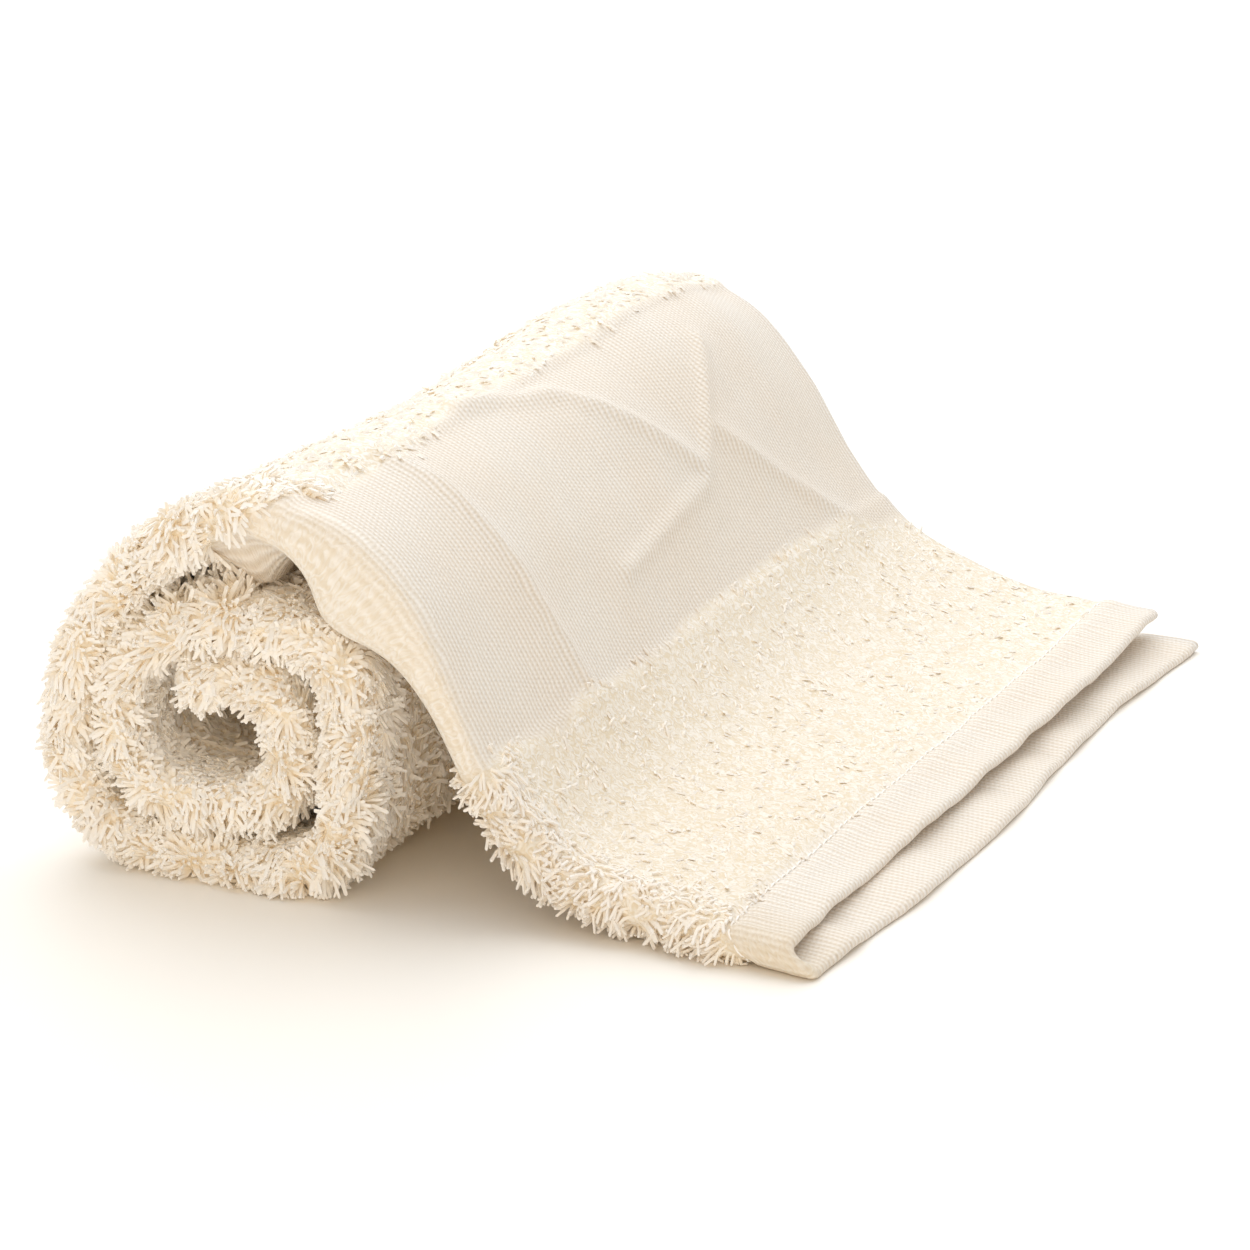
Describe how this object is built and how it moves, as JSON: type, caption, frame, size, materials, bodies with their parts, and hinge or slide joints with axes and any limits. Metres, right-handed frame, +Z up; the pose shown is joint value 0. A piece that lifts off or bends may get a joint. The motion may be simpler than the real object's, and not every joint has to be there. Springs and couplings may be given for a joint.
{
  "type": "rolled bath towel",
  "caption": "Terry bath towel folded in half and rolled up, with a flat woven band and a hemmed free end laid out in front of the roll.",
  "frame": {"origin": "on the surface that the towel rests on, under the middle of its bounding box", "axes": "+Y along the roll from the folded end to the selvedge end, +X along the free end away from the roll, +Z up"},
  "size_m": [0.1816, 0.2538, 0.0905],
  "materials": {
    "cotton": "undyed cream cotton terry, matt, with a flat woven band and hems"
  },
  "bodies": {
    "root": {"towel": "cotton"}
  },
  "joints": []
}
